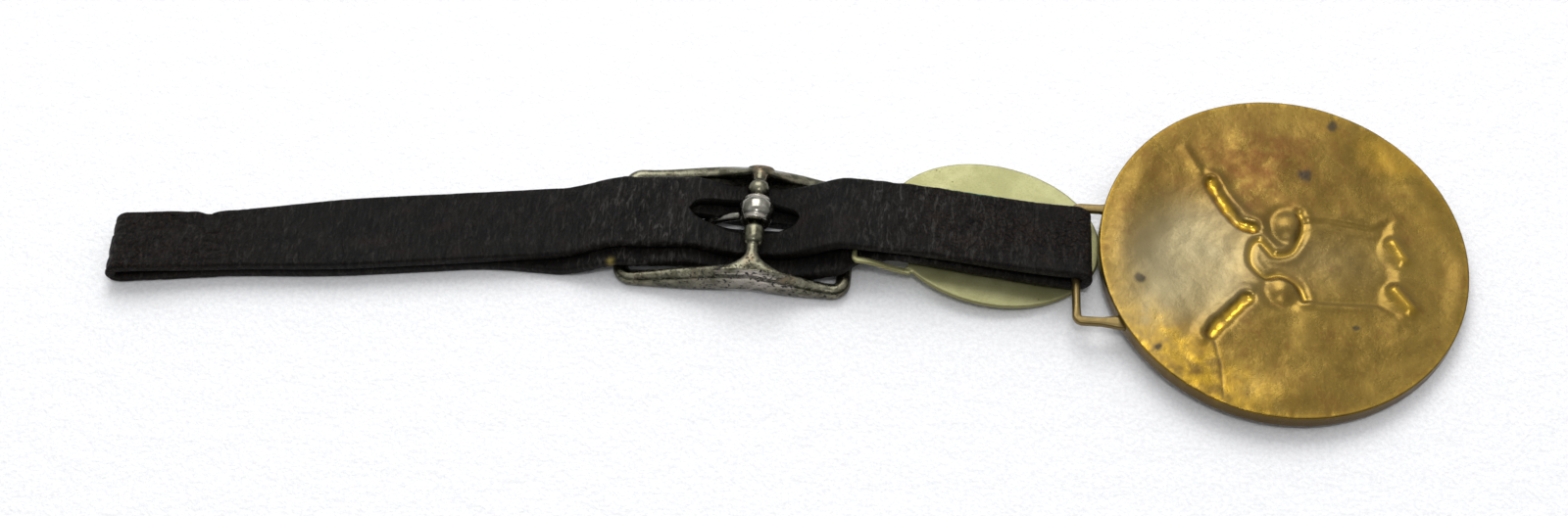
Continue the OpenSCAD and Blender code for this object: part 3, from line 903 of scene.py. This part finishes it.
UPPER_HORN = [(-9.32, 9.41), (-8.44, 7.45), (-7.22, 5.54), (-5.83, 3.97), (-4.29, 3.42)]
LOWER_HORN = [(-4.96, -6.45), (-5.80, -7.53), (-7.14, -9.06), (-8.31, -10.56), (-9.14, -11.82)]
BROW = [
    (1.23, 5.93), (1.56, 4.34), (1.03, 1.84), (-0.01, 0.31), (-1.72, -0.09), (-2.40, 0.63),
    (-3.43, 1.72), (-4.29, 1.22), (-4.63, -0.24), (-4.45, -1.62), (-3.60, -2.72),
    (-2.75, -3.22), (-1.39, -2.86), (-0.03, -3.30), (1.15, -4.15), (1.82, -5.85),
]
UPPER_SIDE = [
    (1.91, 4.87), (4.49, 5.09), (6.56, 4.93), (8.62, 4.77), (10.0, 4.73), (11.39, 5.50),
    (12.27, 6.22),
]
LOWER_SIDE = [(1.82, -5.85), (4.35, -5.95), (7.75, -5.68), (10.46, -5.64), (12.6, -6.6)]
MUZZLE = [
    (11.55, 4.71), (11.51, 3.08), (11.79, 0.69), (12.19, -1.47), (11.54, -2.94),
    (11.34, -4.15), (11.66, -5.10),
]
NOSTRILS = ([(12.36, 2.97), (13.51, 0.89)], [(12.37, -3.53), (14.18, -5.79)])
EYES = ((-0.15, 4.1), (-0.72, -4.77))
SCRATCH = [(-8.8, -12.8), (-8.0, -16.2), (-7.75, -20.3)]
STAINS = ((5.4, 19.3, 0.75), (2.0, 11.6, 0.85), (-17.6, -5.1, 0.6), (-15.3, -14.3, 0.4),
          (7.9, -9.1, 0.35))


def medal_to_fob(points):
    """From the disc's own axes, X away from the loop, to the fob's."""
    x, y, z = (np.asarray(points) + (LOOP_REACH, MEDAL_SHIFT, 0)).T
    x, z = (x * math.cos(MEDAL_LIFT) + z * math.sin(MEDAL_LIFT),
            -x * math.sin(MEDAL_LIFT) + z * math.cos(MEDAL_LIFT))
    turned = [x * math.cos(TURN) - y * math.sin(TURN), x * math.sin(TURN) + y * math.cos(TURN), z]
    return np.stack(turned, -1) + LOOP


def head_axes(x, y):
    """The head lies square to the strap, not to the loop."""
    hx = x * math.cos(TURN) - y * math.sin(TURN)
    hy = x * math.sin(TURN) + y * math.cos(TURN)
    return hx - HEAD_SHIFT, hy


def soft_step(distance, side, width):
    """From 0 to 1 across a line, with the line's own side as positive."""
    return ease(0.5 + 0.5 * distance * side / width)


def struck_back(x, y):
    """Height of the medallion's back, in millimetres, and the horns' troughs."""
    hx, hy = head_axes(x, y)
    r = np.hypot(x, y)
    h = 0.26 * clouds(hx / 10, hy / 10, 91, 2) + 0.07 * clouds(hx / 3.2, hy / 3.2, 97, 2)
    h = h + 0.018 * clouds(hx / 1.1, hy / 1.1, 99, 3)
    h = h - 0.5 * np.exp(-(((hx + 11.5) / 6.5) ** 2 + ((hy + 0.3) / 7.0) ** 2) ** 1.4)
    h = h + 0.16 * np.exp(-((hx + 4.5) / 3) ** 2 - ((hy + 9) / 4) ** 2)
    h = h + 0.14 * np.exp(-((hx + 6) / 3) ** 2 - ((hy - 7) / 4) ** 2)
    troughs = 0
    for horn, wide, lean in ((UPPER_HORN, 0.72, 1), (LOWER_HORN, 0.9, -1)):
        d, _, side = line_distance(hx, hy, smooth_line(horn))
        d = d + 0.12 * noise(hx / 1.1, hy / 1.1, 103)
        trough = ease(1.3 - d / wide)
        h = h - 0.45 * trough + (0.1 + 0.09 * side * lean) * bump(d, wide + 0.5, 0.6)
        h = h + 0.08 * trough * noise(hx / 0.45, hy / 0.45, 101)
        troughs = np.maximum(troughs, trough)
    h = h - 0.24 * head_panel(hx, hy)
    d, t, _ = line_distance(hx, hy, smooth_line(BROW))
    fade = 0.55 + 0.45 * np.sin(9 * t)
    h = h - (0.16 + 0.12 * fade) * bump(d, 0.0, 0.42) + 0.1 * bump(d, 0.8, 0.5)
    for line in (UPPER_SIDE, LOWER_SIDE):
        d, t, _ = line_distance(hx, hy, smooth_line(line))
        weaken = 1 - 0.6 * ease((t - 0.4) * 2)
        h = h + weaken * (0.09 * bump(d, 0.7, 0.5) - 0.08 * bump(d, 0.0, 0.35))
    for ex, ey in EYES:
        d = np.hypot(hx - ex, (hy - ey) * 0.9)
        h = h + 0.5 * np.exp(-(d / 1.35) ** 2.6) - 0.16 * bump(d, 2.1, 0.6)
    d, t, _ = line_distance(hx, hy, smooth_line(MUZZLE))
    h = h - 0.1 * bump(d, 0, 0.7) * np.abs(np.cos(5 * t))
    for line in NOSTRILS:
        d, _, _ = line_distance(hx, hy, line)
        h = h + 0.66 * np.exp(-(d / 0.95) ** 2)
    d, _, _ = line_distance(hx, hy, [(-12.5, 13.8), (-10.7, 10.7)])
    h = h + 0.12 * np.exp(-(d / 0.6) ** 2)
    d, _, _ = line_distance(hx, hy, smooth_line(SCRATCH))
    h = h - 0.05 * np.exp(-(d / 0.15) ** 2)
    h = h * step(-r, -21.5, -18.5)
    nicks = 0.08 * np.clip(noise(np.arctan2(y, x) * 26, r * 0, 107) - 0.45, 0, 1)
    return soften(h - nicks * step(r, 20.6, 21.9)), troughs


def soften(h):
    """The same heights with their sharpest creases eased."""
    for _ in range(2):
        h[1:-1, 1:-1] = (h[1:-1, 1:-1] * 2 + h[:-2, 1:-1] + h[2:, 1:-1]
                         + h[1:-1, :-2] + h[1:-1, 2:]) / 6
    return h


def head_panel(hx, hy):
    """1 on the flat of the head from the brow to the muzzle, 0 off it."""
    upper = soft_step(*line_distance(hx, hy, smooth_line(UPPER_SIDE))[::2], -0.6)
    lower = soft_step(*line_distance(hx, hy, smooth_line(LOWER_SIDE))[::2], 0.6)
    brow = soft_step(*line_distance(hx, hy, smooth_line(BROW))[::2], 0.5)
    muzzle = ease((12.2 + 0.9 * noise(hx / 3, hy / 2.2, 105) - hx) / 1.6)
    return upper * lower * brow * muzzle


def struck_front(x, y):
    """Height of the front: a rim, a sunk field and a plain steer's head standing up."""
    hx, hy = head_axes(x, y)
    hx, hy = hx + HEAD_SHIFT, hy + 0.9
    r = np.hypot(x, y)
    h = RIM_H * step(r, 20.7, 21.3) + 0.02 * clouds(hx / 2, hy / 2, 111, 3)
    long = np.clip((hx + 4.7) / 18.5, 0, 1)
    half = 1.9 + 4.2 * ease(long * 2.6) - 1.1 * ease((long - 0.35) * 2) + 0.9 * ease((long - 0.8) * 5)
    inside = ease((half - np.abs(hy)) / 1.1) * step(hx, -5.2, -3.6) * step(-hx, -14.0, -12.4)
    crown = 0.5 + 0.5 * np.sqrt(np.clip(1 - (hy / (half + 0.01)) ** 2, 0, 1))
    h = np.maximum(h, RIM_H * inside * crown)
    for side in (-1, 1):
        d, t, _ = line_distance(hx, side * hy, smooth_line([(-1.5, 3.6), (-5.2, 5.2), (-9.0, 10.6)]))
        wide = 1.5 - 0.9 * t
        h = np.maximum(h, RIM_H * np.sqrt(np.clip(1 - (d / wide) ** 2, 0, 1)))
        d = np.hypot((hx - 0.6) / 1.2, side * hy - 4.0)
        h = h + 0.14 * np.exp(-(d / 0.5) ** 2) - 0.1 * bump(d, 1.0, 0.25)
        d = np.hypot(hx - 12.2, (side * hy - 2.6) / 1.3)
        h = h - 0.22 * np.exp(-(d / 0.6) ** 2)
    return h


def disc_face(height, cells=240):
    """A round face's points: a square grid drawn out to a circle."""
    u, v = np.meshgrid(np.linspace(-1, 1, cells + 1), np.linspace(-1, 1, cells + 1), indexing="ij")
    x = MEDAL_R * u * np.sqrt(1 - v * v / 2)
    y = MEDAL_R * v * np.sqrt(1 - u * u / 2)
    z, extra = height(x, y)
    inset = 1 - 0.16 / MEDAL_R * step(np.hypot(x, y), MEDAL_R - 0.3, MEDAL_R)
    return np.stack([x * inset, y * inset, z], -1), extra


def disc_mesh(cells=240):
    """Both struck faces and the wall between them, with its arrises eased."""
    top, troughs = disc_face(struck_back, cells)
    low, _ = disc_face(lambda x, y: (RIM_H - struck_front(x, y), None), cells)
    top[..., 2] += MEDAL_HALF_T
    low[..., 2] -= MEDAL_HALF_T
    size = cells + 1
    index = np.arange(size * size).reshape(size, size)
    faces = [
        (int(index[i, j]), int(index[i + 1, j]), int(index[i + 1, j + 1]), int(index[i, j + 1]))
        for i in range(cells) for j in range(cells)
    ]
    faces += [tuple(k + size * size for k in reversed(face)) for face in faces]
    border = np.concatenate([index[:-1, 0], index[-1, :-1], index[:0:-1, -1], index[0, :0:-1]])
    points = [top.reshape(-1, 3), low.reshape(-1, 3)]
    rows = [border]
    for z, inset in ((0.93, 0.03), (0.8, 0), (0.3, 0.02), (-0.3, 0.02), (-0.8, 0), (-0.93, 0.03)):
        edge = top.reshape(-1, 3)[border].copy()
        angle = np.arctan2(edge[:, 1], edge[:, 0])
        edge[:, 0], edge[:, 1] = (MEDAL_R - inset) * np.cos(angle), (MEDAL_R - inset) * np.sin(angle)
        edge[:, 2] = z * MEDAL_HALF_T + 0.02 * noise(angle * 30, z * 3, 113)
        rows.append(np.arange(len(border)) + sum(len(p) for p in points))
        points.append(edge)
    rows.append(border + size * size)
    for a, b in zip(rows[:-1], rows[1:]):
        for k in range(len(border)):
            n = (k + 1) % len(border)
            faces.append((int(a[k]), int(a[n]), int(b[n]), int(b[k])))
    return np.concatenate(points), faces, troughs


def loop_mesh():
    """The wire-thin loop: flat arms, a round bar, and its corners slightly turned."""
    y, reach, corner = LOOP_HALF + ARM_HALF_W, 6.6, 0.7
    path = [(reach, y), (4.8, y), (3.0, y), (1.6, y)]
    for side, first in ((1, 90), (-1, 180)):
        for a in np.radians(np.linspace(first, first + 90, 9)):
            path.append((corner + corner * math.cos(a), side * (y - corner) + corner * math.sin(a)))
        if side > 0:
            path += [(0, t) for t in np.linspace(y - 1.6, -y + 1.6, 24)]
    path += [(1.6, -y), (3.0, -y), (4.8, -y), (reach, -y)]
    path = np.array(path)
    arm = ease((np.abs(path[:, 1]) - y + 1.5) / 1.2)
    thick = LOOP_R - 0.08 * arm
    spread = ARM_HALF_W + 0.02 + 0.55 * np.clip((path[:, 0] - 2.6) / 3, 0, 1) ** 2 * arm
    sections = [ring(w if a > 0.5 else LOOP_R, t, 2 + 2.2 * a, 28)
                for w, t, a in zip(spread, thick, arm)]
    level = np.column_stack([path - (LOOP_REACH, MEDAL_SHIFT), 0 * path[:, 0]])
    return tube(sweep(level, sections))


def medal_looks(x, y, z, troughs):
    """Where the brass is greyed, browned, worn to gold, lit by painted highlights, stained or in the
    wall's shade.
    """
    hx, hy = head_axes(x, y)
    r = np.hypot(x, y)
    patch = clouds(hx / 5, hy / 5, 121, 4)
    fine = clouds(hx / 1.2, hy / 1.2, 131, 3)
    grey = np.exp(-(((hx + 11.5) / 7.5) ** 2 + ((hy + 1.5) / 8) ** 2) ** 2)
    grey = (1.15 * grey + 0.6 * bump(hx, -17, 4) * bump(hy, -9, 6)
            + 0.3 * np.exp(-((hx - 4) / 7) ** 2 - (hy / 4) ** 2))
    brown = 0.7 * np.exp(-((hx + 4) / 9) ** 2 - ((hy - 12) / 6) ** 2) + 0.6 * np.clip(patch + 0.1, 0, 1)
    gold_and_highlight = 0.9 * troughs * np.clip(0.8 + fine, 0, 1)
    # past the troughs this is painted highlight: two broad patches, the brow line and the nostrils; the
    # outer rim is lightened a little as well
    bearing = np.degrees(np.arctan2(hy, hx))
    gold_and_highlight = gold_and_highlight + (0.8 * step(r, 14.5, 19) * bump(bearing, -125, 22)
                   * np.clip(0.5 + fine, 0, 1))
    gold_and_highlight = gold_and_highlight + (0.5 * step(r, 15, 20) * bump(bearing, 45, 22)
                   * np.clip(0.4 + patch, 0, 1))
    gold_and_highlight = gold_and_highlight + 0.4 * np.exp(-(line_distance(hx, hy, smooth_line(BROW))[0] / 0.4) ** 2)
    gold_and_highlight = gold_and_highlight + 0.15 * step(r, 21.3, 21.8)
    for line in NOSTRILS:
        gold_and_highlight = gold_and_highlight + 0.4 * np.exp(-(line_distance(hx, hy, line)[0] / 0.9) ** 2)
    stain = 0
    for sx, sy, size in STAINS:
        d = np.hypot(hx - sx, hy - sy) + 0.25 * noise(hx * 2, hy * 2, 141)
        stain = np.maximum(stain, 0.8 * ease(1.4 - d / size))
    scratch = line_distance(hx, hy, smooth_line(SCRATCH))[0]
    stain = np.maximum(stain, 0.5 * np.exp(-(scratch / 0.13) ** 2))
    back = step(z, 0, 0.3)
    wall = 0.8 * (1 - step(z, 0.86, 0.97)) * step(r, 21.6, 21.9)
    return {
        "grey": np.clip(0.9 * grey * (0.9 + 0.3 * patch), 0, 1) * back,
        "brown": np.clip(brown, 0, 1) * 0.75, "gold_and_highlight": np.clip(gold_and_highlight, 0, 1) * np.where(z > 0, 1, 0.3),
        "stain": stain * back, "wall": wall,
    }


def build_medallion(material):
    points, faces, troughs = disc_mesh()
    extra = np.zeros(len(points))
    extra[:troughs.size] = troughs.ravel()
    looks = medal_looks(*points.T, extra)
    loop_points, loop_faces = loop_mesh()
    faces += [tuple(k + len(points) for k in face) for face in loop_faces]
    fade = np.zeros(len(loop_points))
    for key in looks:
        looks[key] = np.concatenate([looks[key], fade + {"grey": 0.5, "wall": 0.35}.get(key, 0)])
    made = make_object(
        "struck_medallion", medal_to_fob(np.concatenate([points, loop_points])), faces, looks)
    wear(made, material)
    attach(made, "medal")
    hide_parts("medallion")


# ------------------------------------------------------------------- charm

CHARM_L, CHARM_W = 26.2, 19.6
CHARM_TURN = math.radians(-7)
CHARM_TILT = math.radians(4.4)
SLOT_GAP_HALF = STRAP_W / 2 + 0.35
STRIP_W = 0.8
TAB_R = 0.3


def charm_plate():
    """The oval's outline with the end of its slot cut in, as a thin plate."""
    a = np.radians(np.arange(0, 360, 1.5))
    ex, ey = CHARM_L / 2 * np.cos(a), CHARM_W / 2 * np.sin(a)
    x = ex * math.cos(CHARM_TURN) - ey * math.sin(CHARM_TURN) + CHARM_L / 2 - 2.2
    y = ex * math.sin(CHARM_TURN) + ey * math.cos(CHARM_TURN) + 0.9
    half, depth, corner = SLOT_GAP_HALF + 0.1, 1.2, 0.7
    outside = ~((np.abs(y) < half) & (x < depth))
    start = int(np.argmax(outside & ~np.roll(outside, 1)))
    keep = [k for k in (np.arange(len(a)) + start) % len(a) if outside[k]]
    outline = [(x[k], y[k]) for k in keep]
    for side, first in ((1, 90), (-1, 0)):
        for c in np.radians(np.linspace(first, first - 90, 6)):
            outline.append((depth - corner + corner * math.cos(c),
                            side * (half - corner) + corner * math.sin(c)))
    outline = np.array(outline)
    rings = []
    for z, grow in ((-0.35, -0.12), (-0.2, 0), (0.2, 0), (0.35, -0.12)):
        centre = np.array([CHARM_L / 2 - 2.2, 0.9])
        away = outline - centre
        grown = outline + grow * away / np.linalg.norm(away, axis=1)[:, None]
        rings.append(np.column_stack([grown, np.full(len(grown), z)]))
    points, faces = tube(rings)
    x, y, z = points.T
    tilted = np.stack([x * math.cos(CHARM_TILT) + z * math.sin(CHARM_TILT), y,
                       -x * math.sin(CHARM_TILT) + z * math.cos(CHARM_TILT)], -1)
    return tilted + (PLATE_X, TAB[1], PLATE_T / 2 + PLATE_RISE), faces


def charm_tab():
    """Two bent strips from the plate up to the round hanging bar, swept in one."""
    y, inset = SLOT_GAP_HALF + STRIP_W / 2, 1.5
    stations = [
        (TAB[0] - 1, TAB[2]), (TAB[0] + 0.5, TAB[2]),
        (PLATE_X + inset, plate_top(PLATE_X + inset) - PLATE_T / 2),
    ]
    corner = 0.5
    path = [(x, y) for x in np.linspace(PLATE_X + inset, TAB[0] + corner + 0.1, 30)]
    for side, first in ((1, 90), (-1, 180)):
        for a in np.radians(np.linspace(first, first + 90, 8)):
            path.append((TAB[0] + corner + corner * math.cos(a),
                         side * (y - corner) + corner * math.sin(a)))
        if side > 0:
            path += [(TAB[0], t) for t in np.linspace(y - 0.8, -y + 0.8, 20)]
    path += [(x, -y) for x in np.linspace(TAB[0] + corner + 0.1, PLATE_X + inset, 30)]
    path = np.array(path)
    arm = ease((np.abs(path[:, 1]) - y + 1.1) / 0.9)
    sections = [ring(TAB_R + (STRIP_W / 2 - TAB_R) * a, TAB_R, 2 + 1.5 * a, 24) for a in arm]
    level = np.column_stack([path[:, 0], path[:, 1] + TAB[1], along(stations, path[:, 0])])
    return tube(sweep(level, sections))


def build_charm(material):
    made = cast_together("oval_charm_plate", [charm_plate(), charm_tab()], 0.13, 3)
    p, n = points_of(made), normals_of(made)
    p = p + n * (0.015 * clouds(p[:, 0] / 3, p[:, 1] / 3, 151, 2))[:, None]
    move_points(made, p)
    # painted shade: faces that stand upright are darkened
    add_values(made, rim=0.7 * step(-np.abs(n[:, 2]), -0.85, -0.4))
    wear(made, material)
    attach(made, "charm")
    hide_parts("oval_charm")


# ------------------------------------------------------------------- stage

def build_floor(material):
    """A pale felt sheet, a little uneven, under the whole fob."""
    cells, size = 120, 900.0
    grid = np.linspace(-1, 1, cells + 1)
    grid = np.sign(grid) * np.abs(grid) ** 1.6 * size
    x, y = np.meshgrid(grid, grid, indexing="ij")
    points = np.stack([x, y, 0 * x - 0.02], -1).reshape(-1, 3)
    index = np.arange((cells + 1) ** 2).reshape(cells + 1, cells + 1)
    faces = [
        (int(index[i, j]), int(index[i + 1, j]), int(index[i + 1, j + 1]), int(index[i, j + 1]))
        for i in range(cells) for j in range(cells)
    ]
    made = make_object("felt_floor", points, faces)
    wear(made, material)


def area_light(name, place, target, size, power, color=(1, 1, 1)):
    """A soft square light; places are in millimetres from under the centre bar."""
    data = bpy.data.lights.new(name, "AREA")
    data.size = size * MM
    data.energy = power
    data.color = color
    made = bpy.data.objects.new(name, data)
    SCENE.collection.objects.link(made)
    made.location = (np.array(place) + ORIGIN) * MM
    aim(made, (np.array(target) + ORIGIN) * MM)


def aim(obj, target):
    away = mathutils.Vector(obj.location) - mathutils.Vector(target)
    obj.rotation_euler = away.to_track_quat("Z", "Y").to_euler()


def build_camera():
    """Looks down at the fob, from in front and a little to its right."""
    pitch, turn, distance = math.radians(58.34), math.radians(4.9), 347.43
    target = np.array([3.581, -3.138, 0])
    level = np.array([-math.sin(turn), math.cos(turn), 0]) * math.cos(pitch)
    forward = level + (0, 0, -math.sin(pitch))
    data = bpy.data.cameras.new("camera")
    data.sensor_width = 36
    data.lens = 66.74
    made = bpy.data.objects.new("camera", data)
    SCENE.collection.objects.link(made)
    made.location = (target - forward * distance + ORIGIN) * MM
    aim(made, (target + ORIGIN) * MM)
    SCENE.camera = made


def build_room():
    """A pale room, bright overhead and behind the fob, dark low down in front of it."""
    world = bpy.data.worlds.new("soft_room")
    world.use_nodes = True
    nodes, links = world.node_tree.nodes, world.node_tree.links
    where = nodes.new("ShaderNodeTexCoord")
    lean = nodes.new("ShaderNodeVectorMath")
    lean.operation = "DOT_PRODUCT"
    lean.inputs[1].default_value = (0.0, 0.5, 0.85)
    level = nodes.new("ShaderNodeMapRange")
    level.interpolation_type = "SMOOTHSTEP"
    for key, value in (("From Min", -0.1), ("From Max", 0.85), ("To Min", 0.08), ("To Max", 0.92)):
        level.inputs[key].default_value = value
    links.new(where.outputs["Generated"], lean.inputs[0])
    links.new(lean.outputs["Value"], level.inputs["Value"])
    links.new(level.outputs["Result"], nodes["Background"].inputs["Strength"])
    nodes["Background"].inputs["Color"].default_value = (0.97, 0.98, 1.0, 1.0)
    SCENE.world = world


def build_lights():
    area_light("window", (-70, 400, 520), (0, 0, 0), 420, 2.4)
    area_light("lamp", (30, -190, 520), (0, 0, 0), 70, 0.5)


def main():
    SCENE.view_settings.view_transform = "Standard"
    build_camera()
    build_room()
    build_lights()
    build_floor(felt_material())
    build_leather(leather_material())
    build_buckle(nickel_material("aged_nickel", (74, 72, 58), (120, 118, 100), 0.2))
    build_tongue(nickel_material("worn_nickel", (110, 108, 98), (158, 156, 146), 0.12))
    build_medallion(medallion_material())
    build_charm(charm_material())


main()
